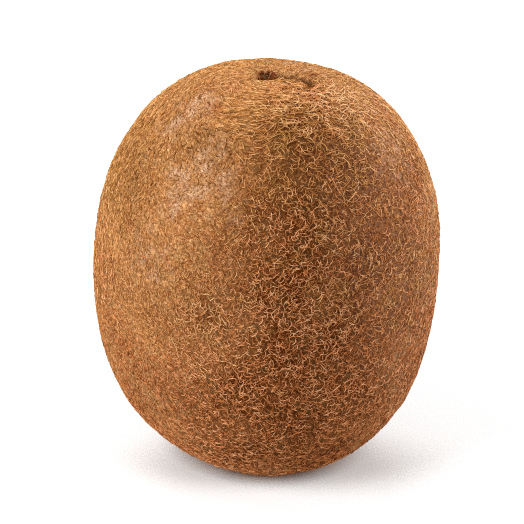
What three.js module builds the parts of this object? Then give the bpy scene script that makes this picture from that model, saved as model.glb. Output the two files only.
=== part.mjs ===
// A whole kiwi fruit standing on its blossom end, in millimetres, +Z up.
// The origin is on the surface that it stands on, under the middle of the fruit. The fruit is one solid: it grew
// as one piece, and the stem scar and the dried flower are hard patches of its own skin.
//
// The skin is described in the fruit's own frame, which starts at the middle of its widest section and has +Z
// along its axis towards the stem. The fruit is then leaned, lifted and flattened where it rests.
import * as THREE from "three";

const { clamp } = THREE.MathUtils;

// The body. A power of 2 would make an ellipse, and a higher one makes a squarer shoulder.
const WIDTH = 51.0; // across X, at the widest section
const DEPTH = 50.5; // across Y
const STEM_REACH = 29.8; // from the widest section to the stem end, before its hollow
const STEM_POWER = 2.3;
const BLOSSOM_REACH = 32.1; // from the widest section to the blossom end, before its hollow
const BLOSSOM_POWER = 2.38;

// How the fruit stands: the stem end leans towards -Y, and the lowest stretch is pressed flat.
const LEAN = THREE.MathUtils.degToRad(6);
const FLATTENING = 0.9;
const EQUATOR = BLOSSOM_REACH - FLATTENING; // height of the middle of the widest section

// Broad soft lobes keep it from being a turned shape. Each repeats around the axis, starting from its turn in
// radians, and changes along the axis by that power of the height.
const LOBES = [
  { around: 1, along: 1, rise: 0.049, turn: 0 },
  { around: 1, along: 2, rise: 0.022, turn: 0 },
  { around: 2, along: 0, rise: 0.042, turn: 4.7 },
  { around: 3, along: 0, rise: 0.008, turn: 2.1 },
  { around: 5, along: 0, rise: 0.004, turn: 4.0 },
];

// The stem end: a wide shallow hollow, set a little to one side, and the woody scar, a low disc with a pit.
const STEM_HOLLOW = { depth: 1.9, spread: 5.5, aside: 1.8 };
const SCAR = { height: 0.6, radius: 2.7 };
const SCAR_PIT = { depth: 1.2, spread: 1.1 };

// The blossom end: the dried flower is a low knob in a small round hollow, inside the flat spot.
const BLOSSOM_HOLLOW = { depth: 2.3, radius: 3.6 };
const FLOWER_KNOB = { height: 0.9, spread: 1.3 };

// How finely the skin is divided, and how much closer the rows lie together at the two ends.
const COLUMNS = 64;
const ROWS = 48;
const END_CROWDING = 0.1;

// 1 in the middle, fading smoothly to nothing over about twice the spread.
function bell(distance, spread) {
  return Math.exp(-((distance / spread) ** 2));
}

// 1 over a flat top of this radius, falling off quickly past it.
function plateau(distance, radius) {
  return 1 / (1 + (distance / radius) ** 8);
}

// Distance from the middle of the widest section to the skin, along a unit vector.
function bodyRadius({ x, y, z }) {
  const [reach, power] = z > 0 ? [STEM_REACH, STEM_POWER] : [BLOSSOM_REACH, BLOSSOM_POWER];
  const across = Math.hypot(x / (WIDTH / 2), y / (DEPTH / 2));
  const along = Math.abs(z) / reach;
  const smooth = (across ** power + along ** power) ** (-1 / power);
  const azimuth = Math.atan2(y, x);
  const fromAxis = x * x + y * y; // the lobes fade out towards both ends
  const lobes = LOBES.map(({ around, along, rise, turn }) => rise * z ** along * Math.cos(around * azimuth - turn));
  return smooth * (1 + fromAxis * lobes.reduce((sum, lobe) => sum + lobe, 0));
}

// How far the skin stands above the plain body around the stem.
function stemRelief({ x, y }) {
  const fromScar = STEM_REACH * Math.hypot(x, y);
  const fromHollow = Math.hypot(STEM_REACH * x - STEM_HOLLOW.aside, STEM_REACH * y);
  const hollow = STEM_HOLLOW.depth * bell(fromHollow, STEM_HOLLOW.spread);
  const scar = SCAR.height * plateau(fromScar, SCAR.radius);
  const pit = SCAR_PIT.depth * bell(fromScar, SCAR_PIT.spread);
  return scar - hollow - pit;
}

// How far the skin stands above the plain body around the dried flower.
function blossomRelief({ x, y }) {
  const fromFlower = BLOSSOM_REACH * Math.hypot(x, y);
  const hollow = BLOSSOM_HOLLOW.depth * plateau(fromFlower, BLOSSOM_HOLLOW.radius);
  const knob = FLOWER_KNOB.height * bell(fromFlower, FLOWER_KNOB.spread);
  return knob - hollow;
}

// Turns a unit vector in the fruit's own frame into the point of the standing fruit's skin that it meets.
function skinPoint(direction) {
  const relief = direction.z > 0 ? stemRelief(direction) : blossomRelief(direction);
  const point = direction.clone().multiplyScalar(bodyRadius(direction) + relief);
  point.applyAxisAngle(new THREE.Vector3(1, 0, 0), LEAN);
  point.z = Math.max(point.z + EQUATOR, 0);
  return point;
}

// A ball whose rows crowd towards its ends, where the hollows are, drawn out to the fruit's skin.
function fruitGeometry() {
  const geometry = new THREE.SphereGeometry(1, COLUMNS, ROWS).rotateX(Math.PI / 2);
  const position = geometry.getAttribute("position");
  const direction = new THREE.Vector3();
  for (let i = 0; i < position.count; i++) {
    direction.fromBufferAttribute(position, i);
    const fromStem = Math.acos(clamp(direction.z, -1, 1));
    const crowded = fromStem - Math.PI * END_CROWDING * Math.sin(2 * fromStem);
    const azimuth = Math.atan2(direction.y, direction.x);
    const ring = Math.sin(crowded);
    direction.set(ring * Math.cos(azimuth), ring * Math.sin(azimuth), Math.cos(crowded));
    const { x, y, z } = skinPoint(direction);
    position.setXYZ(i, x, y, z);
  }
  geometry.computeVertexNormals();
  return geometry;
}

function kiwiFruit() {
  const skin = new THREE.MeshStandardMaterial({ color: 0x96653a, roughness: 0.95, metalness: 0 });
  const fruit = new THREE.Mesh(fruitGeometry(), skin);
  fruit.name = "kiwi_fruit";
  return fruit;
}

const part = new THREE.Group();
part.add(kiwiFruit());

export default part;
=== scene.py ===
import math

import bpy
import numpy as np
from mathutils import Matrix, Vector


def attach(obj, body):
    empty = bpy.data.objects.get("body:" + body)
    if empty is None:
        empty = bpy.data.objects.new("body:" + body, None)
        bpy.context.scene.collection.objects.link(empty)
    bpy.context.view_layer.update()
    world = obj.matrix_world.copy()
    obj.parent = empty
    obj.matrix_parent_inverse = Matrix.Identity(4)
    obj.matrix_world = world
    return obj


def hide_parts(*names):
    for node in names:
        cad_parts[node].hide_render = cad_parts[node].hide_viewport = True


# The looks of a kiwi fruit: its skin, woody stem scar, dried flower and fuzz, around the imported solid.
#
# Lengths are in millimetres until a mesh is made, and those of the lights and the floor are in metres. The
# skin is described in the fruit's own frame, as in the CAD part: it starts at the middle of the widest
# section, and +Z runs along the fruit's axis towards the stem. stand() then leans, lifts and flattens it.
# A "direction" is a unit vector from that middle, and an array of them has one row each.

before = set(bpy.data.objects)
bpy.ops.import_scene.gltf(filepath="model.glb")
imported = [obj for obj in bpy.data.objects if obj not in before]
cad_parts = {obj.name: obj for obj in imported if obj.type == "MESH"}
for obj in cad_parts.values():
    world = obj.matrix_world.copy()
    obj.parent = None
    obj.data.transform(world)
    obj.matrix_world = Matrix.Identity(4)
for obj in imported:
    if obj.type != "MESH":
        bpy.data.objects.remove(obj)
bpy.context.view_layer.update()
MM = 0.001

# The body, with the CAD part's numbers.
WIDTH = 51.0
DEPTH = 50.5
STEM_REACH = 29.8
STEM_POWER = 2.3
BLOSSOM_REACH = 32.1
BLOSSOM_POWER = 2.38
LEAN = math.radians(6)
FLATTENING = 0.9
EQUATOR = BLOSSOM_REACH - FLATTENING
LOBES = [  # times around, power of the height, rise, turn
    (1, 1, 0.049, 0.0),
    (1, 2, 0.022, 0.0),
    (2, 0, 0.042, 4.7),
    (3, 0, 0.008, 2.1),
    (5, 0, 0.004, 4.0),
]
STEM_HOLLOW = {"depth": 1.9, "spread": 5.5, "aside": 1.8}
SCAR = {"height": 0.6, "radius": 2.7}
SCAR_PIT = {"depth": 1.2, "spread": 1.1}
BLOSSOM_HOLLOW = {"depth": 2.3, "radius": 3.6}
FLOWER_KNOB = {"height": 0.9, "spread": 1.3}

# What the scene adds to the body's shape: low bumps, a ragged hole in the scar, a little behind the axis,
# and a fold in the skin that runs out of the hole.
SKIN_BUMPS = [(9.0, 0.03), (3.5, 0.02), (1.6, 0.012)]  # wavelength, height
CAVITY = {"depth": 2.2, "across": 1.4, "along": 1.7, "behind": 0.8}
CAVITY_EDGE = [(3, 0.25, 1.0), (5, 0.20, 0.0), (8, 0.15, 2.0)]  # times around, how far in and out, turn
CREASE_DEPTH = 0.6
CREASE_LINE = [  # across and along from the axis, and how wide the fold is there
    (1.3, 1.6, 0.35),
    (2.8, 1.6, 0.3),
    (4.2, 1.5, 0.6),
    (5.6, 0.4, 0.7),
    (6.2, -1.4, 0.9),
    (6.5, -3.4, 0.8),
]

# Where the fruit rests, the fuzz is pressed into the gap between the skin and the floor.
PRESSED_FUZZ = 0.12
LOWEST_HAIR = PRESSED_FUZZ * 0.65

# How finely the skin is divided, and how much closer the rows lie together at the two ends.
SKIN_COLUMNS = 224
SKIN_ROWS = 132
END_CROWDING = 0.1

SEED = 11  # each random thing below starts from this plus a number of its own


# --- Numbers over the fruit ---------------------------------------------------------------------------

WAVES = 12  # how many plain waves are added up in a ripple


def bell(distance, spread):
    """1 at 0, fading smoothly to nothing over about twice the spread."""
    return np.exp(-((distance / spread) ** 2))


def plateau(distance, radius):
    """1 over a flat top of this radius, falling off quickly past it."""
    return 1 / (1 + (distance / radius) ** 8)


def unit(vectors):
    """The same vectors with a length of 1."""
    return vectors / np.linalg.norm(vectors, axis=-1, keepdims=True)


def ripple(points, wavelength, seed):
    """Smooth random values around 0, about 1 high, that change over this wavelength."""
    rng = np.random.default_rng(seed)
    ways = unit(rng.normal(size=(WAVES, 3)))
    lengths = wavelength * rng.uniform(0.8, 1.3, WAVES)
    starts = rng.uniform(0, 2 * math.pi, WAVES)
    heights = np.sin(points @ (ways / lengths[:, None]).T * 2 * math.pi + starts)
    return heights.sum(axis=1) * math.sqrt(2 / WAVES)


def ripple_over(direction, wavelength, seed):
    """ripple() over a ball as wide as the fruit, for what changes from place to place on it."""
    return ripple(direction * WIDTH / 2, wavelength, SEED + seed)


def body_radius(direction):
    """Distance from the middle of the widest section to the plain body's surface."""
    x, y, z = direction.T
    towards_stem = z > 0
    reach = np.where(towards_stem, STEM_REACH, BLOSSOM_REACH)
    power = np.where(towards_stem, STEM_POWER, BLOSSOM_POWER)
    across = np.hypot(x / (WIDTH / 2), y / (DEPTH / 2))
    smooth = (across**power + (np.abs(z) / reach) ** power) ** (-1 / power)
    azimuth = np.arctan2(y, x)
    lobes = sum(
        rise * z**along * np.cos(around * azimuth - turn)
        for around, along, rise, turn in LOBES
    )
    return smooth * (1 + (x * x + y * y) * lobes)


def end_relief(direction):
    """How far the skin stands above the plain body around the scar and the dried flower."""
    x, y, z = direction.T
    from_scar = STEM_REACH * np.hypot(x, y)
    from_hollow = np.hypot(STEM_REACH * x - STEM_HOLLOW["aside"], STEM_REACH * y)
    stem = SCAR["height"] * plateau(from_scar, SCAR["radius"])
    stem -= STEM_HOLLOW["depth"] * bell(from_hollow, STEM_HOLLOW["spread"])
    stem -= SCAR_PIT["depth"] * bell(from_scar, SCAR_PIT["spread"])
    from_flower = BLOSSOM_REACH * np.hypot(x, y)
    blossom = FLOWER_KNOB["height"] * bell(from_flower, FLOWER_KNOB["spread"])
    blossom -= BLOSSOM_HOLLOW["depth"] * plateau(from_flower, BLOSSOM_HOLLOW["radius"])
    return np.where(z > 0, stem, blossom)


def beside_line(points, line):
    """Distance from each flat point to a line through several points, in widths of the line there."""
    nearest = np.full(len(points), np.inf)
    for start, end in zip(np.array(line[:-1]), np.array(line[1:])):
        way = end - start
        share = np.clip((points - start[:2]) @ way[:2] / (way[:2] @ way[:2]), 0, 1)
        on_line = start + share[:, None] * way
        nearest = np.minimum(nearest, np.linalg.norm(points - on_line[:, :2], axis=1) / on_line[:, 2])
    return nearest


def cavity_share(direction):
    """1 in the ragged hole in the middle of the stem scar, and 0 outside it."""
    x = direction[:, 0] * STEM_REACH
    y = direction[:, 1] * STEM_REACH - CAVITY["behind"]
    azimuth = np.arctan2(y, x)
    edge = 1 + sum(size * np.sin(around * azimuth + turn) for around, size, turn in CAVITY_EDGE)
    hole = plateau(np.hypot(x / CAVITY["across"], y / CAVITY["along"]), edge)
    return np.where(direction[:, 2] > 0, hole, 0)


def crease_share(direction):
    """1 in the bottom of the fold beside the scar, fading to 0 on its sides, which are ragged."""
    ragged = np.maximum(1 + 0.6 * ripple(direction * STEM_REACH, 0.9, SEED + 5), 0.5)
    away = beside_line(direction[:, :2] * STEM_REACH, CREASE_LINE) * ragged
    return np.where(direction[:, 2] > 0, bell(away, 1), 0)


def skin_radius(direction):
    """Distance from the middle of the widest section to the finished skin."""
    plain = body_radius(direction)
    bumps = sum(
        height * ripple(direction * plain[:, None], wavelength, SEED + i)
        for i, (wavelength, height) in enumerate(SKIN_BUMPS)
    )
    holes = CAVITY["depth"] * cavity_share(direction) + CREASE_DEPTH * crease_share(direction)
    return plain + end_relief(direction) - holes + bumps


def stand(points, lowest):
    """Takes points from the fruit's own frame to the standing fruit's, and lifts those that are too low."""
    x, y, z = points.T
    leaned_y = y * math.cos(LEAN) - z * math.sin(LEAN)
    leaned_z = y * math.sin(LEAN) + z * math.cos(LEAN)
    return np.stack([x, leaned_y, np.maximum(leaned_z + EQUATOR, lowest)], axis=1)


# --- Worn and lush places -----------------------------------------------------------------------------

# Where the fuzz has rubbed off: azimuth in degrees (-90 is the front), height above the widest section as
# a share of the way to the end, radius in millimetres, and how bare it is.
WORN_PLACES = [
    (-117, 0.80, 2.2, 0.8),
    (-119, 0.75, 2.4, 1.0),
    (-128, 0.68, 2.6, 1.0),
    (-119, 0.65, 2.6, 0.9),
    (-108, 0.71, 2.4, 0.9),
    (-129, 0.58, 2.6, 0.8),
    (-104, 0.62, 2.4, 0.6),
    (-116, 0.84, 2.0, 0.7),
    (-149, 0.86, 2.7, 1.0),
    (-143, 0.90, 2.5, 1.0),
    (-145, 0.94, 2.1, 0.9),
    (-31, 0.71, 4.0, 0.7),
    (-138, 0.27, 5.0, 0.6),
    (42, 0.96, 3.6, 0.45),
    (15, 0.35, 5.0, 0.6),
    (80, 0.55, 4.0, 0.9),
    (72, 0.44, 3.0, 0.8),
    (110, 0.10, 5.0, 0.6),
    (150, 0.50, 4.0, 0.8),
    (175, -0.20, 5.0, 0.5),
]


def place_direction(azimuth, height):
    """The direction at an azimuth in degrees and a height, as a share of the way to the fruit's end."""
    ring = math.sqrt(1 - height * height)
    around = math.radians(azimuth)
    return np.array([ring * math.cos(around), ring * math.sin(around), height])


def near_place(direction, azimuth, height, radius):
    """1 in the middle of a round place, fading to nothing over about twice its radius."""
    away = np.linalg.norm(direction - place_direction(azimuth, height), axis=1) * WIDTH / 2
    return bell(away, radius)


def wear(direction):
    """0 where the fuzz is whole, and up to 0.9 where the skin is nearly bare."""
    total = np.zeros(len(direction))
    for azimuth, height, radius, bareness in WORN_PLACES:
        total = np.maximum(total, bareness * near_place(direction, azimuth, height, radius))
    patchy = 0.22 * ripple_over(direction, 2.6, 20)
    return np.clip((total + patchy * (total > 0.1) - 0.3) * 1.4, 0, 0.9)


# Painted light and shade, with some paler and darker fuzz: places where the fuzz is painted lighter or
# darker, such as darker near the foot and round the stem's hollow and lighter on the upper right. Azimuth,
# height and radius as above, and how much lighter it is.
PAINTED_LIGHT_AND_SHADE_PLACES = [
    (-142, -0.38, 7.0, -0.08),
    (-158, 0.02, 5.0, 0.10),
    (-152, 0.76, 6.5, -0.20),
    (-128, 0.85, 5.0, -0.08),
    (-108, 0.82, 6.0, -0.13),
    (-122, 0.48, 4.0, -0.15),
    (-112, 0.05, 7.0, 0.16),
    (-30, 0.92, 5.0, 0.30),
    (0, 0.975, 3.8, -0.2),
    (-108, -0.35, 5.0, 0.08),
    (-89, -0.42, 4.5, -0.10),
    (-80, 0.02, 8.0, 0.15),
    (-62, 0.20, 6.0, -0.06),
    (-62, -0.78, 6.0, -0.26),
    (-68, 0.80, 6.0, -0.16),
]

# Where the fuzz is longest, curliest and most unruly: bands along the fruit, by azimuth at the widest
# section, slant towards the stem, and spread, all in degrees, and the height of the band's upper end.
LUSH_BANDS = [(-75, 15, 42, 1.0), (50, 0, 28, 0.8), (128, 0, 30, 0.8)]

# The crown is in front of the stem, where the fuzz is long and lies sideways. It starts at this height and
# is full a little above it.
CROWN = {"height": 0.74, "fade": 0.16, "azimuth": -95, "spread": 70}

# Painted sheen: the skin is painted more mauve towards the right, for the cool pinkish sheen on that side.
MAUVE_SHEEN_SIDE = (1.5, 0.0, 0.4)  # the skin under the fuzz is more mauve this way


def painted_light_and_shade(direction):
    """How much lighter the fuzz is painted here than in most places: painted light and shade, with some
    paler and darker fuzz.
    """
    return sum(change * near_place(direction, *place) for *place, change in PAINTED_LIGHT_AND_SHADE_PLACES)


def mauve_sheen(direction):
    """How mauve the skin under the fuzz is painted, as a cool sheen: 0 on the left and in front, and more
    towards the right.
    """
    return np.clip(direction @ MAUVE_SHEEN_SIDE - 0.5, 0, 0.65)


def from_azimuth(direction, middle, spread):
    """1 along a line from the stem to the flower at this azimuth in degrees, fading away to both sides."""
    azimuth = np.degrees(np.arctan2(direction[:, 1], direction[:, 0]))
    return bell((azimuth - middle + 180) % 360 - 180, spread)


def crown_share(direction):
    """1 on the crown, and 0 over most of the fruit."""
    high_up = np.clip((direction[:, 2] - CROWN["height"]) / CROWN["fade"], 0, 1)
    return high_up * from_azimuth(direction, CROWN["azimuth"], CROWN["spread"])


def lushness(direction):
    """1 where the fuzz is long and unruly over dark skin, and 0 where it is short, fine and combed."""
    height = direction[:, 2]
    bands = [
        from_azimuth(direction, middle + slant * height, spread) * np.clip((top - height) / 0.1 + 1, 0, 1)
        for middle, slant, spread, top in LUSH_BANDS
    ]
    patchy = 0.12 * ripple_over(direction, 9.0, 21)
    near_flower = np.clip((-0.5 - height) / 0.35, 0, 1)
    lush = np.maximum.reduce(bands) * (1 - 0.4 * near_flower)
    return np.clip(lush + patchy, 0, 1)


# --- Meshes -------------------------------------------------------------------------------------------

def make_mesh(name, points, faces, material):
    """A smooth mesh object from millimetre points and an array of triangles or quads."""
    mesh = bpy.data.meshes.new(name)
    corners = faces.shape[1]
    mesh.vertices.add(len(points))
    mesh.vertices.foreach_set("co", (points * MM).astype(np.float32).ravel())
    mesh.loops.add(faces.size)
    mesh.loops.foreach_set("vertex_index", faces.astype(np.int32).ravel())
    mesh.polygons.add(len(faces))
    mesh.polygons.foreach_set("loop_start", np.arange(0, faces.size, corners, dtype=np.int32))
    mesh.update(calc_edges=True)
    mesh.polygons.foreach_set("use_smooth", np.ones(len(faces), dtype=bool))
    mesh.materials.append(material)
    piece = bpy.data.objects.new(name, mesh)
    bpy.context.scene.collection.objects.link(piece)
    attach(piece, "root")
    return piece


def add_attribute(piece, name, values):
    """Gives each point of a piece a number that its material can read."""
    attribute = piece.data.attributes.new(name, "FLOAT", "POINT")
    attribute.data.foreach_set("value", values.astype(np.float32))


def grid_directions():
    """Directions in rows from the stem to the flower, closer together at both ends."""
    from_stem = np.linspace(0, math.pi, SKIN_ROWS + 1)[1:-1]
    from_stem = from_stem - math.pi * END_CROWDING * np.sin(2 * from_stem)
    azimuth = np.linspace(0, 2 * math.pi, SKIN_COLUMNS, endpoint=False)
    from_stem, azimuth = np.meshgrid(from_stem, azimuth, indexing="ij")
    ring = np.sin(from_stem)
    grid = np.stack([ring * np.cos(azimuth), ring * np.sin(azimuth), np.cos(from_stem)], axis=-1)
    ends = np.array([[0, 0, 1], [0, 0, -1]])
    return np.concatenate([grid.reshape(-1, 3), ends])


def grid_faces():
    """Triangles that close the rows of grid_directions() into a ball."""
    rows = SKIN_ROWS - 1
    index = np.arange(rows * SKIN_COLUMNS).reshape(rows, SKIN_COLUMNS)
    beside = np.roll(index, -1, axis=1)
    upper = np.stack([index[:-1], index[1:], beside[1:]], axis=-1).reshape(-1, 3)
    lower = np.stack([index[:-1], beside[1:], beside[:-1]], axis=-1).reshape(-1, 3)
    stem_end = rows * SKIN_COLUMNS
    blossom_end = stem_end + 1
    stem_fan = np.stack([np.full(SKIN_COLUMNS, stem_end), index[0], beside[0]], axis=-1)
    blossom_fan = np.stack([np.full(SKIN_COLUMNS, blossom_end), beside[-1], index[-1]], axis=-1)
    return np.concatenate([upper, lower, stem_fan, blossom_fan])


def make_skin(material):
    """The fruit's finished skin, in place of the CAD solid."""
    direction = grid_directions()
    points = stand(direction * skin_radius(direction)[:, None], PRESSED_FUZZ)
    skin = make_mesh("skin", points, grid_faces(), material)
    add_attribute(skin, "wear", wear(direction))
    add_attribute(skin, "lushness", lushness(direction))
    add_attribute(skin, "mauve", mauve_sheen(direction))
    # Painted shade: the hole in the scar is painted nearly black, and the fold beside it nearly so.
    add_attribute(skin, "hole", np.maximum(cavity_share(direction), 0.8 * crease_share(direction)))
    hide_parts("kiwi_fruit")


# --- Fuzz ---------------------------------------------------------------------------------------------

TUBE_SIDES = 3


def spread_roots(count, rng):
    """Directions spread evenly over the fruit's surface, a little shaken."""
    i = np.arange(count) + 0.5
    z = 1 - 2 * i / count
    azimuth = i * math.pi * (3 - math.sqrt(5))
    ring = np.sqrt(1 - z * z)
    even = np.stack([ring * np.cos(azimuth), ring * np.sin(azimuth), z], axis=1)
    shaken = unit(even + rng.normal(0, 0.7 / math.sqrt(count), (count, 3)))
    radius = body_radius(shaken)
    return shaken[rng.random(count) < (radius / radius.max()) ** 2]


def walk(root, heading, length, curl, steps):
    """Follows each strand over the fruit: directions, a row for each strand, from its root to its tip.

    heading is an angle from the line that runs around the fruit, towards the stem. curl is how far the
    strand turns over its whole length."""
    east = unit(np.cross([0, 0, 1], root))
    north = np.cross(root, east)
    way = east * np.cos(heading)[:, None] + north * np.sin(heading)[:, None]
    stride = (length / steps / body_radius(root))[:, None]
    turn = (curl / steps)[:, None]
    path = [root]
    for _ in range(steps):
        way = way * np.cos(turn) + np.cross(path[-1], way) * np.sin(turn)
        following = unit(path[-1] + way * stride)
        way = unit(way - following * (way * following).sum(axis=1, keepdims=True))
        path.append(following)
    return np.stack(path, axis=1)


def tube_points(path, width):
    """Tapered tubes along paths on the standing fruit, which have one row of points for each strand.

    Each strand has a point at its root, rings of TUBE_SIDES points, and a point at its tip."""
    along = unit(np.gradient(path, axis=1))
    outward = unit(path - [0, 0, EQUATOR])
    side = unit(np.cross(along, outward))
    outward = np.cross(side, along)
    rings = []
    for corner in range(TUBE_SIDES):
        angle = math.pi / 2 + corner * 2 * math.pi / TUBE_SIDES
        spoke = side * math.cos(angle) + outward * math.sin(angle)
        rings.append(path + spoke * width[:, :, None] / 2)
    inner = np.stack(rings, axis=2)[:, 1:-1]
    strands, ring_count = inner.shape[:2]
    inner = inner.reshape(strands, ring_count * TUBE_SIDES, 3)
    return np.concatenate([path[:, :1], inner, path[:, -1:]], axis=1)


def tube_triangles(ring_count):
    """The triangles of one strand that has this many rings, as numbers of its points."""
    last = ring_count * TUBE_SIDES + 1
    triangles = []
    for side in range(TUBE_SIDES):
        following = (side + 1) % TUBE_SIDES
        triangles.append((0, 1 + following, 1 + side))
        for ring in range(ring_count - 1):
            here = 1 + ring * TUBE_SIDES
            there = here + TUBE_SIDES
            triangles.append((here + side, here + following, there + following))
            triangles.append((here + side, there + following, there + side))
        here = 1 + (ring_count - 1) * TUBE_SIDES
        triangles.append((here + side, here + following, last))
    return np.array(triangles)


def make_tubes(name, path, width, warmth, lightness, material):
    """A piece of many tubes, none of which goes below the floor.

    path holds points in the fruit's own frame, a row for each tube. width and lightness have a value for
    each of those points, and warmth has one for each tube."""
    count, per_path = path.shape[:2]
    standing = stand(path.reshape(-1, 3), LOWEST_HAIR).reshape(path.shape)
    tubes = tube_points(standing, width)
    per_tube = tubes.shape[1]
    points = tubes.reshape(-1, 3)
    points[:, 2] = np.maximum(points[:, 2], 0)
    pattern = tube_triangles(per_path - 2)
    first_points = np.arange(count) * per_tube
    faces = (pattern[None] + first_points[:, None, None]).reshape(-1, 3)
    piece = make_mesh(name, points, faces, material)
    add_colour_map(piece, pattern, warmth, lightness, per_tube)
    return piece


def add_colour_map(piece, pattern, warmth, lightness, per_tube):
    """Gives every corner its colour's place on the map: across is warmth, and up is lightness.

    Small steps across and up keep each triangle from having no area on the map."""
    point = np.arange(per_tube)
    ring = np.clip((point - 1) // TUBE_SIDES + 1, 0, lightness.shape[1] - 1)
    sidestep = ((point - 1) % TUBE_SIDES) * 0.004
    across = np.clip(warmth[:, None] + sidestep[None], 0.01, 0.99)
    up = np.clip(lightness[:, ring] + 0.003 * ring[None], 0.01, 0.99)
    corners = np.stack([across[:, pattern], up[:, pattern]], axis=-1).reshape(-1, 2)
    layer = piece.data.uv_layers.new(name="OFBake")
    layer.data.foreach_set("uv", corners.astype(np.float32).ravel())


# The coats of fuzz. Hairs may grow at "roots" places, and "kept" is the share of them where one does, in
# combed places and in lush ones. "rings" is how many rings of points each hair has between its ends. The
# lengths, widths and heights are in millimetres, and "curl" is about how far a hair turns, in radians.
COATS = [
    {
        "name": "fuzz_short", "pieces": 2, "roots": 30000, "kept": (1.0, 0.5), "rings": 1,
        "length": (0.5, 1.0), "width": 0.14, "height": 0.07, "curl": 0.9, "lightness": (0.10, 0.60),
    },
    {
        "name": "fuzz_middle", "pieces": 2, "roots": 46000, "kept": (0.75, 1.0), "rings": 2,
        "length": (0.6, 1.3), "width": 0.14, "height": 0.16, "curl": 1.4, "lightness": (0.20, 0.90),
    },
    {
        "name": "fuzz_long", "pieces": 3, "roots": 46000, "kept": (0.5, 0.95), "rings": 3,
        "length": (0.8, 2.0), "width": 0.145, "height": 0.26, "curl": 2.2, "lightness": (0.40, 1.0),
    },
]
ROOT_DEPTH = 0.03  # how far under the skin a hair starts
PLAIN_LIGHTNESS = 0.60  # what every hair's colour tends to where the fuzz is short and combed
DARK_LIGHTNESS = 0.24  # the few dark hairs among the others
# Painted shade: the hairs are painted darker in these pits.
PIT_WAVELENGTH = 0.42  # the small pits between single hairs
TUFT_WAVELENGTH = 1.0  # the larger pits between tufts, where the fuzz is lush
# Painted light: the fuzz is painted more golden towards the lit top and redder towards the shaded bottom.
GOLDEN_LIT_SIDE = (-0.2, 0.1, 0.6)  # the fuzz is more golden this way, and redder on the other side


def combed_heading(direction):
    """The angle that tidy fuzz lies at: around the fruit in front of the stem, and slanting elsewhere."""
    crown = crown_share(direction)
    slant = math.radians(-45) + 0.6 * ripple_over(direction, 16.0, 31)
    return slant * (1 - crown) + 0.25 * ripple_over(direction, 9.0, 32) * crown


def pits(direction, wavelength):
    """1 in pits this far apart, where the hairs are painted dark as shade, and 0 between them."""
    return np.clip(1.8 * ripple_over(direction, wavelength, 43) - 0.9, 0, 1)


def warmth_of(direction, rng):
    """How golden each hair is, from 0 for rosy to 1. Painted light makes it more golden on the lit side,
    and redder on the shaded side and in the fold.
    """
    lush = lushness(direction) * (1 - 0.4 * crown_share(direction))
    broad = 0.42 + direction @ GOLDEN_LIT_SIDE - 0.2 * lush + 0.12 * ripple_over(direction, 18.0, 41)
    fine = 0.16 * ripple_over(direction, 3.0, 42) + rng.normal(0, 0.10, len(direction))
    return np.clip(broad + fine - 0.3 * wear(direction) - 0.4 * crease_share(direction), 0.02, 0.95)


def grow_roots(coat, rng):
    """The directions of a coat's hairs, fewer of them where the fuzz is worn and in the hole."""
    root = spread_roots(coat["roots"], rng)
    bare = np.maximum.reduce([wear(root) * 0.6, cavity_share(root) * 0.95, crease_share(root) * 0.2])
    in_combed, in_lush = coat["kept"]
    share = in_combed + (in_lush - in_combed) * np.maximum(lushness(root), crown_share(root))
    return root[rng.random(len(root)) < share * (1 - bare)]


def grow_hairs(coat, root, rng):
    """The direction of each point of each hair. Hairs are combed in some places and unruly in others."""
    count = len(root)
    worn, lush, crown = wear(root), lushness(root), crown_share(root)
    shortest, longest = coat["length"]
    length = shortest + (longest - shortest) * rng.random(count) ** 1.5
    length *= (0.95 + 0.2 * lush + 0.8 * crown) * (1 - 0.4 * worn)
    heading = combed_heading(root) + rng.normal(0, 1, count) * (0.3 + 0.95 * lush) * (1 - 0.75 * crown)
    curl = coat["curl"] * rng.normal(0, 1, count) * (0.4 + 0.8 * lush) * (1 - 0.4 * crown)
    return walk(root, heading, length, curl, coat["rings"] + 1)


def raise_hairs(coat, root, direction, along, rng):
    """The hairs' points in the fruit's own frame: each rises from the skin and bends back towards it."""
    lift = coat["height"] * rng.uniform(0.5, 1.3, len(root)) * (0.35 + 0.85 * lushness(root))
    height = lift[:, None] * np.sin(along * math.pi * 0.75) ** 0.7 - ROOT_DEPTH
    radius = skin_radius(direction.reshape(-1, 3)).reshape(direction.shape[:2]) + height
    return direction * radius[:, :, None]


def hair_lightness(coat, root, direction, along, rng):
    """How light each hair is at each of its points, with painted shade: darker towards its root, in pits
    and in the crease.
    """
    count = len(root)
    lush = lushness(root)
    darkest, lightest = coat["lightness"]
    level = darkest + (lightest - darkest) * rng.random(count)
    variety = 0.55 + 0.45 * np.maximum(lush, crown_share(root))
    level = PLAIN_LIGHTNESS + (level - PLAIN_LIGHTNESS) * variety
    level = np.where(rng.random(count) < 0.18 - 0.1 * lush, DARK_LIGHTNESS, level)
    # Painted light and shade from the places listed above, and a little darker where the fuzz is worn.
    level += painted_light_and_shade(root) - 0.05 * wear(root)
    point = direction.reshape(-1, 3)
    lush = np.repeat(lush, direction.shape[1])
    # Painted shade: darker in small pits between hairs, in larger ones between lush tufts, and in the fold.
    shade = 1 - pits(point, PIT_WAVELENGTH) * (0.6 - 0.36 * lush)
    shade -= pits(point, TUFT_WAVELENGTH) * 0.4 * lush
    shade *= 1 - 0.8 * crease_share(point)
    # Painted shade: each hair is darker towards its root.
    return level[:, None] * (0.75 + 0.25 * along[None]) * shade.reshape(direction.shape[:2])


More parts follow.
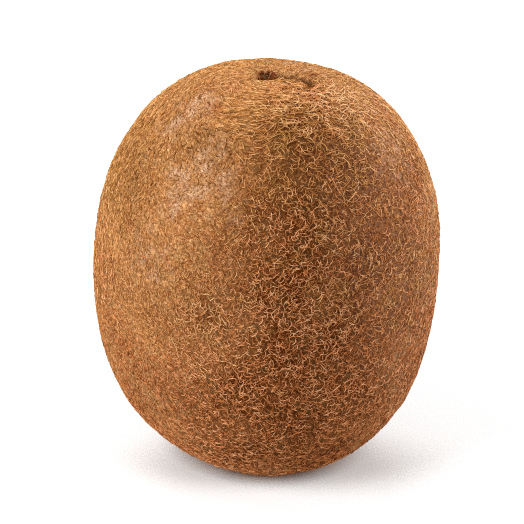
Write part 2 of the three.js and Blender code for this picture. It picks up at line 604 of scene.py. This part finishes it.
def make_coat(coat, seed, material):
    """One length of fuzz over the whole fruit, in several pieces."""
    rng = np.random.default_rng(seed)
    root = grow_roots(coat, rng)
    direction = grow_hairs(coat, root, rng)
    along = np.linspace(0, 1, direction.shape[1])
    path = raise_hairs(coat, root, direction, along, rng)
    width = coat["width"] * rng.uniform(0.75, 1.2, len(root))[:, None] * (1 - 0.45 * along[None] ** 2)
    lightness = hair_lightness(coat, root, direction, along, rng)
    warmth = warmth_of(root, rng)
    for i in range(coat["pieces"]):
        mine = slice(i, None, coat["pieces"])
        name = f"{coat['name']}_{i + 1}"
        piece = make_tubes(name, path[mine], width[mine], warmth[mine], lightness[mine], material)


# --- Stem scar and dried flower -----------------------------------------------------------------------

SPLINTER_TAPER = [1.0, 1.0, 0.7, 0.2]  # share of its width that a spike has at each point from its root
FIBRE_TAPER = [1.0, 1.0, 0.8, 0.4]
STYLE_TAPER = [1.0, 1.0, 0.9, 0.7]
SPIKE_STEPS = 3


def around_evenly(count, shake, rng):
    """Azimuths all round, a little shaken."""
    return np.linspace(0, 2 * math.pi, count, endpoint=False) + rng.normal(0, shake, count)


def around_anyhow(count, rng):
    """Azimuths all round, wherever they fall."""
    return rng.uniform(0, 2 * math.pi, count)


def lean_spikes(ground, azimuth, start, reach, low, high):
    """Paths of spikes that start around an end of the fruit and lean over it, in the fruit's own frame.

    start is how far each root is from the axis, and reach is how far it leans in, or out where it is
    negative. low and high are the heights of the roots and the tips above ground."""
    along = np.linspace(0, 1, SPIKE_STEPS + 1)[None]
    away = start[:, None] - reach[:, None] * along
    height = ground + low + (high - low)[:, None] * along**0.7
    bend = azimuth[:, None] + 0.5 * along * np.sin(azimuth * 7)[:, None]
    return np.stack([away * np.cos(bend), away * np.sin(bend), height], axis=-1)


def make_spikes(name, path, widths, taper, lightness, rng, material):
    """A piece of woody spikes. widths are the least and the most that one has at its root."""
    count = len(path)
    width = rng.uniform(*widths, count)[:, None] * np.array([taper])
    level = np.full(path.shape[:2], lightness)
    return make_tubes(name, path, width, rng.random(count), level, material)


def make_stem_scar(material):
    """The torn rim of the stem's hole: woody splinters that lean over it, and dry fibres from its floor."""
    rng = np.random.default_rng(SEED + 50)
    ground = STEM_REACH - STEM_HOLLOW["depth"] + SCAR["height"]
    behind = [0, CAVITY["behind"], 0]

    count = 46
    azimuth = around_evenly(count, 0.06, rng)
    # The splinters start a little outside the oval of the hole.
    start = 1.1 / np.hypot(np.cos(azimuth) / CAVITY["across"], np.sin(azimuth) / CAVITY["along"])
    high = rng.uniform(-0.1, 0.65, count)
    reach = rng.uniform(0.2, 0.9, count)
    path = lean_spikes(ground, azimuth, start, reach, -0.35, high) + behind
    splinters = make_spikes("stem_scar_rim", path, (0.35, 0.75), SPLINTER_TAPER, 0.5, rng, material)

    count = 20
    azimuth = around_anyhow(count, rng)
    start = rng.uniform(0.2, 1.4, count)
    high = rng.uniform(-2.2, -1.2, count)
    reach = rng.uniform(-0.6, 0.8, count)
    path = lean_spikes(ground, azimuth, start, reach, -3.0, high) + behind
    fibres = make_spikes("stem_scar_fibres", path, (0.14, 0.3), FIBRE_TAPER, 0.3, rng, material)


def make_dried_flower(material):
    """What is left of the flower under the fruit: curled sepals around a tuft of dry styles."""
    rng = np.random.default_rng(SEED + 60)
    ground = -(BLOSSOM_REACH - BLOSSOM_HOLLOW["depth"])

    count = 40
    azimuth = around_evenly(count, 0.1, rng)
    start = rng.uniform(1.6, 2.4, count)
    high = rng.uniform(-1.1, -0.5, count)
    reach = rng.uniform(-0.6, 0.9, count)
    path = lean_spikes(ground, azimuth, start, reach, 0.3, high)
    sepals = make_spikes("flower_sepals", path, (0.3, 0.7), SPLINTER_TAPER, 0.5, rng, material)

    count = 60
    azimuth = around_anyhow(count, rng)
    high = rng.uniform(-1.3, -0.8, count)
    start = rng.uniform(0.1, 1.0, count)
    reach = rng.uniform(-0.9, 0.1, count)
    path = lean_spikes(ground, azimuth, start, reach, 0.2, high)
    styles = make_spikes("flower_styles", path, (0.1, 0.2), STYLE_TAPER, 0.3, rng, material)


# --- Materials ----------------------------------------------------------------------------------------

def linear(red, green, blue):
    """A colour given as it looks on a screen, 0 to 255, in the light's own numbers."""
    def channel(value):
        value /= 255
        return value / 12.92 if value <= 0.04045 else ((value + 0.055) / 1.055) ** 2.4
    return (channel(red), channel(green), channel(blue), 1.0)


def new_material(name):
    """A new material, its node tree and its shader."""
    material = bpy.data.materials.new(name)
    material.use_nodes = True
    return material, material.node_tree, material.node_tree.nodes["Principled BSDF"]


def add_ramp(tree, factor, stops):
    """A colour ramp over (position, colour) stops."""
    node = tree.nodes.new("ShaderNodeValToRGB")
    elements = node.color_ramp.elements
    while len(elements) < len(stops):
        elements.new(0.5)
    for element, (position, colour) in zip(elements, stops):
        element.position = position
        element.color = colour
    tree.links.new(factor, node.inputs["Fac"])
    return node.outputs["Color"]


def add_mix(tree, factor, first, second):
    """Mixes two colours, each a socket or a colour. factor is a socket or a number."""
    node = tree.nodes.new("ShaderNodeMix")
    node.data_type = "RGBA"
    for socket, value in zip((node.inputs[0], node.inputs[6], node.inputs[7]), (factor, first, second)):
        if isinstance(value, bpy.types.NodeSocket):
            tree.links.new(value, socket)
        else:
            socket.default_value = value
    return node.outputs[2]


def add_noise(tree, scale, detail=4.0, roughness=0.6, distortion=0.0, shift=0.0):
    """Noise in the object's own space, with this many cells to a metre."""
    mapping = tree.nodes.new("ShaderNodeMapping")
    mapping.inputs["Location"].default_value = (shift, shift, shift)
    tree.links.new(tree.nodes.new("ShaderNodeTexCoord").outputs["Object"], mapping.inputs["Vector"])
    node = tree.nodes.new("ShaderNodeTexNoise")
    node.inputs["Scale"].default_value = scale
    node.inputs["Detail"].default_value = detail
    node.inputs["Roughness"].default_value = roughness
    node.inputs["Distortion"].default_value = distortion
    tree.links.new(mapping.outputs["Vector"], node.inputs["Vector"])
    return node.outputs["Fac"]


def add_math(tree, operation, first, second=0.0):
    """Works out one number from one or two, each a socket or a number."""
    node = tree.nodes.new("ShaderNodeMath")
    node.operation = operation
    for socket, value in zip(node.inputs, (first, second)):
        if isinstance(value, bpy.types.NodeSocket):
            tree.links.new(value, socket)
        else:
            socket.default_value = value
    return node.outputs[0]


def add_curls(tree, scale, shift, thickness):
    """Curly lines like flattened hairs, 1 along their middles and 0 between them: contours of a noise."""
    noise = add_noise(tree, scale, detail=1.5, distortion=0.8, shift=shift)
    away = add_math(tree, "ABSOLUTE", add_math(tree, "SUBTRACT", noise, 0.5))
    node = tree.nodes.new("ShaderNodeMapRange")
    node.interpolation_type = "SMOOTHSTEP"
    tree.links.new(thickness, node.inputs["From Max"])
    node.inputs["To Min"].default_value = 1.0
    node.inputs["To Max"].default_value = 0.0
    tree.links.new(away, node.inputs["Value"])
    return node.outputs["Result"]


def add_bump(tree, shader, heights, distance):
    """Roughens a surface finely. distance is how high a height of 1 stands, in millimetres."""
    node = tree.nodes.new("ShaderNodeBump")
    node.inputs["Distance"].default_value = distance * MM
    tree.links.new(heights, node.inputs["Height"])
    tree.links.new(node.outputs["Normal"], shader.inputs["Normal"])


def read_attribute(tree, name):
    """One of the values that make_skin() gave to the skin's points."""
    node = tree.nodes.new("ShaderNodeAttribute")
    node.attribute_name = name
    return node.outputs["Fac"]


def add_bare_skin(tree, mottle, lush, worn):
    """The leathery skin's colour: dark and reddish where the fuzz is lush, partly as painted shade under
    its hairs, with olive patches, a painted mauve sheen on one side, and greyish pink where the fuzz is
    worn."""
    lush_shaded_skin = add_ramp(tree, mottle, [(0.32, linear(38, 11, 0)), (0.62, linear(88, 40, 10))])
    combed_skin = add_ramp(tree, mottle, [(0.34, linear(90, 38, 8)), (0.60, linear(158, 100, 54))])
    worn_skin = add_ramp(tree, mottle, [(0.34, linear(132, 84, 50)), (0.58, linear(192, 155, 125))])
    # Painted sheen: the mauve skin on the right side stands for a cool pinkish sheen.
    mauve_sheen_skin = add_ramp(tree, mottle, [(0.34, linear(88, 50, 32)), (0.60, linear(162, 114, 88))])
    olive_skin = add_mix(tree, lush, linear(134, 108, 70), linear(88, 66, 36))
    patches = add_noise(tree, 380, detail=2.0)
    olive_share = add_ramp(tree, patches, [(0.46, (0, 0, 0, 1)), (0.60, (0.45, 0.45, 0.45, 1))])
    skin = add_mix(tree, lush, combed_skin, lush_shaded_skin)
    skin = add_mix(tree, olive_share, skin, olive_skin)
    skin = add_mix(tree, read_attribute(tree, "mauve"), skin, mauve_sheen_skin)
    return add_mix(tree, worn, skin, worn_skin)


def add_felt(tree, lush, worn):
    """1 on a felt of fine flattened hairs, thinner where the fuzz is lush or worn, and 0 between them."""
    sparse = add_math(tree, "MULTIPLY", add_math(tree, "MAXIMUM", lush, worn), 0.045)
    thickness = add_math(tree, "SUBTRACT", 0.07, sparse)
    felt = add_curls(tree, 1250, 3.0, thickness)
    for scale, shift in ((1650, 7.0), (950, 11.0)):
        felt = add_math(tree, "MAXIMUM", felt, add_curls(tree, scale, shift, thickness))
    return felt


def skin_material():
    """Leathery skin under a felt of fine hairs, with painted shade: nearly black in the scar's hole and
    dark in the fold beside it.
    """
    material, tree, shader = new_material("fuzzy_skin")
    lush = read_attribute(tree, "lushness")
    worn = read_attribute(tree, "wear")
    mottle = add_noise(tree, 2600)
    felt = add_felt(tree, lush, worn)
    # Partly painted shade: the felt is darker under the lush fuzz.
    lush_shaded_felt = add_ramp(tree, mottle, [(0.35, linear(112, 52, 14)), (0.65, linear(176, 110, 56))])
    combed_hairs = add_ramp(tree, mottle, [(0.38, linear(166, 108, 58)), (0.62, linear(204, 160, 112))])
    hairs = add_mix(tree, lush, combed_hairs, lush_shaded_felt)
    skin = add_bare_skin(tree, mottle, lush, worn)
    skin = add_mix(tree, add_math(tree, "MULTIPLY", felt, 0.8), skin, hairs)
    # Painted shade: nearly black in the hole and dark in the fold.
    skin = add_mix(tree, read_attribute(tree, "hole"), skin, linear(24, 6, 3))
    tree.links.new(skin, shader.inputs["Base Color"])
    shader.inputs["Roughness"].default_value = 0.9
    shader.inputs["Specular IOR Level"].default_value = 0.02
    add_bump(tree, shader, felt, 0.12)
    return material


def fuzz_material():
    """Dry hair. Its colour is a function of the colour map alone: warmth across, lightness up."""
    material, tree, shader = new_material("fuzz_hair")
    uv_map = tree.nodes.new("ShaderNodeUVMap")
    uv_map.uv_map = "OFBake"
    split = tree.nodes.new("ShaderNodeSeparateXYZ")
    tree.links.new(uv_map.outputs["UV"], split.inputs["Vector"])
    rosy = add_ramp(tree, split.outputs["Y"], [
        (0.0, linear(74, 22, 0)),
        (0.45, linear(179, 108, 61)),
        (1.0, linear(229, 173, 128)),
    ])
    golden = add_ramp(tree, split.outputs["Y"], [
        (0.0, linear(72, 32, 0)),
        (0.45, linear(180, 127, 69)),
        (1.0, linear(234, 194, 143)),
    ])
    colour = add_mix(tree, split.outputs["X"], rosy, golden)
    tree.links.new(colour, shader.inputs["Base Color"])
    shader.inputs["Roughness"].default_value = 0.7
    shader.inputs["Specular IOR Level"].default_value = 0.02
    return material


def wood_material():
    """Dry dark streaked wood, for what is left of the stem and the flower."""
    material, tree, shader = new_material("stem_scar")
    grain = add_noise(tree, 2600, detail=6.0, roughness=0.7, distortion=0.6)
    colour = add_ramp(tree, grain, [
        (0.30, linear(34, 10, 2)),
        (0.50, linear(92, 42, 14)),
        (0.68, linear(176, 112, 60)),
    ])
    tree.links.new(colour, shader.inputs["Base Color"])
    shader.inputs["Roughness"].default_value = 0.8
    shader.inputs["Specular IOR Level"].default_value = 0.05
    add_bump(tree, shader, grain, 0.1)
    return material


# --- Camera, light and floor --------------------------------------------------------------------------

CAMERA_DISTANCE = 430.0
CAMERA_ELEVATION = math.radians(17)
CAMERA_LENS = 198.0
CAMERA_AIM = Vector((-0.65, 0.0, 30.75))


def make_camera():
    """A camera in front of the fruit that looks a little down on it."""
    data = bpy.data.cameras.new("camera")
    data.lens = CAMERA_LENS
    data.sensor_width = 36.0
    data.clip_start = 0.01
    camera = bpy.data.objects.new("camera", data)
    back = Vector((0, -math.cos(CAMERA_ELEVATION), math.sin(CAMERA_ELEVATION)))
    camera.location = (CAMERA_AIM + back * CAMERA_DISTANCE) * MM
    camera.rotation_euler = (-back).to_track_quat("-Z", "Y").to_euler()
    bpy.context.scene.collection.objects.link(camera)
    bpy.context.scene.camera = camera


# Softboxes by azimuth and elevation in degrees (-90 is in front of the fruit and 180 to its left), width
# as a share of the distance, watts and colour. The fruit's softboxes leave the floor alone. The floor's
# come from several sides, so that the fruit's shadow stays close around its foot.
LIGHT_DISTANCE = 0.9
WHITE = (1.0, 1.0, 1.0)
COOL = (0.70, 0.80, 1.03)
MILD = (0.90, 0.85, 0.87)
WARM = (1.0, 0.97, 0.92)
FRUIT_LIGHTS = {
    "key_left": (188, 18, 0.5, 10.2, WARM),
    "right": (14, 8, 0.5, 8.5, COOL),
    "front": (-88, 12, 0.5, 7.3, WHITE),
    "top": (45, 56, 0.5, 9.2, MILD),
    "overhead": (-80, 80, 0.9, 2.7, WHITE),
}
FLOOR_LIGHTS = {
    "floor_front_left": (-140, 36, 0.6, 7.5, WHITE),
    "floor_front_right": (-42, 36, 0.6, 5.9, WHITE),
    "floor_back": (103, 36, 0.8, 6.5, WHITE),
}


def make_softbox(name, azimuth, elevation, width, power, colour, reached):
    """A square light that faces the fruit. reached is the collection that says what it lights."""
    data = bpy.data.lights.new(name, "AREA")
    data.size = width * LIGHT_DISTANCE
    data.energy = power
    data.color = colour
    light = bpy.data.objects.new(name, data)
    around, up = math.radians(azimuth), math.radians(elevation)
    back = Vector((math.cos(up) * math.cos(around), math.cos(up) * math.sin(around), math.sin(up)))
    light.location = Vector((0, 0, EQUATOR * MM)) + back * LIGHT_DISTANCE
    light.rotation_euler = (-back).to_track_quat("-Z", "Y").to_euler()
    light.light_linking.receiver_collection = reached
    bpy.context.scene.collection.objects.link(light)


def make_lights(floor):
    """The softboxes, with each group kept off the floor or kept to it."""
    for lights, state in ((FRUIT_LIGHTS, "EXCLUDE"), (FLOOR_LIGHTS, "INCLUDE")):
        reached = bpy.data.collections.new(f"floor_{state.lower()}")
        reached.objects.link(floor)
        reached.collection_objects[0].light_linking.link_state = state
        for name, numbers in lights.items():
            make_softbox(name, *numbers, reached)


AMBIENT_LIGHT = 0.45  # the strength of the white light from all round, where 1 looks white itself


def make_world():
    """White wherever the camera sees past the floor, and a dimmer white light from all round."""
    world = bpy.data.worlds.new("studio")
    world.use_nodes = True
    tree = world.node_tree
    background = tree.nodes["Background"]
    background.inputs["Color"].default_value = (1, 1, 1, 1)
    path = tree.nodes.new("ShaderNodeLightPath")
    strength = tree.nodes.new("ShaderNodeMapRange")
    strength.inputs["To Min"].default_value = AMBIENT_LIGHT
    strength.inputs["To Max"].default_value = 1.0
    tree.links.new(path.outputs["Is Camera Ray"], strength.inputs["Value"])
    tree.links.new(strength.outputs["Result"], background.inputs["Strength"])
    bpy.context.scene.world = world


FLOOR_RADIUS = 0.42  # it ends where it is still lit to white, so that its edge doesn't show
FLOOR_CORNERS = 64


def make_floor():
    """A plain pale disc under the fruit."""
    azimuth = np.linspace(0, 2 * math.pi, FLOOR_CORNERS, endpoint=False)
    rim = np.stack([np.cos(azimuth), np.sin(azimuth), np.zeros(FLOOR_CORNERS)], axis=1) * FLOOR_RADIUS
    mesh = bpy.data.meshes.new("floor")
    mesh.from_pydata(rim.tolist(), [], [range(FLOOR_CORNERS)])
    material, _, shader = new_material("floor")
    shader.inputs["Base Color"].default_value = (0.85, 0.85, 0.85, 1)
    shader.inputs["Roughness"].default_value = 1.0
    shader.inputs["Specular IOR Level"].default_value = 0.0
    mesh.materials.append(material)
    floor = bpy.data.objects.new("floor", mesh)
    floor.visible_diffuse = False  # or it would light the fruit from below more than a studio's table does
    bpy.context.scene.collection.objects.link(floor)
    return floor


# --- The scene ----------------------------------------------------------------------------------------

make_camera()
make_lights(make_floor())
make_world()
bpy.context.scene.view_settings.view_transform = "Standard"
bpy.context.scene.cycles.use_denoising = False  # it would smear the hairs together
bpy.context.scene.cycles.filter_width = 1.15  # narrower than usual, so that single hairs stay sharp
make_skin(skin_material())
hair = fuzz_material()
for order, coat in enumerate(COATS):
    make_coat(coat, SEED + 100 + order, hair)
wood = wood_material()
make_stem_scar(wood)
make_dried_flower(wood)
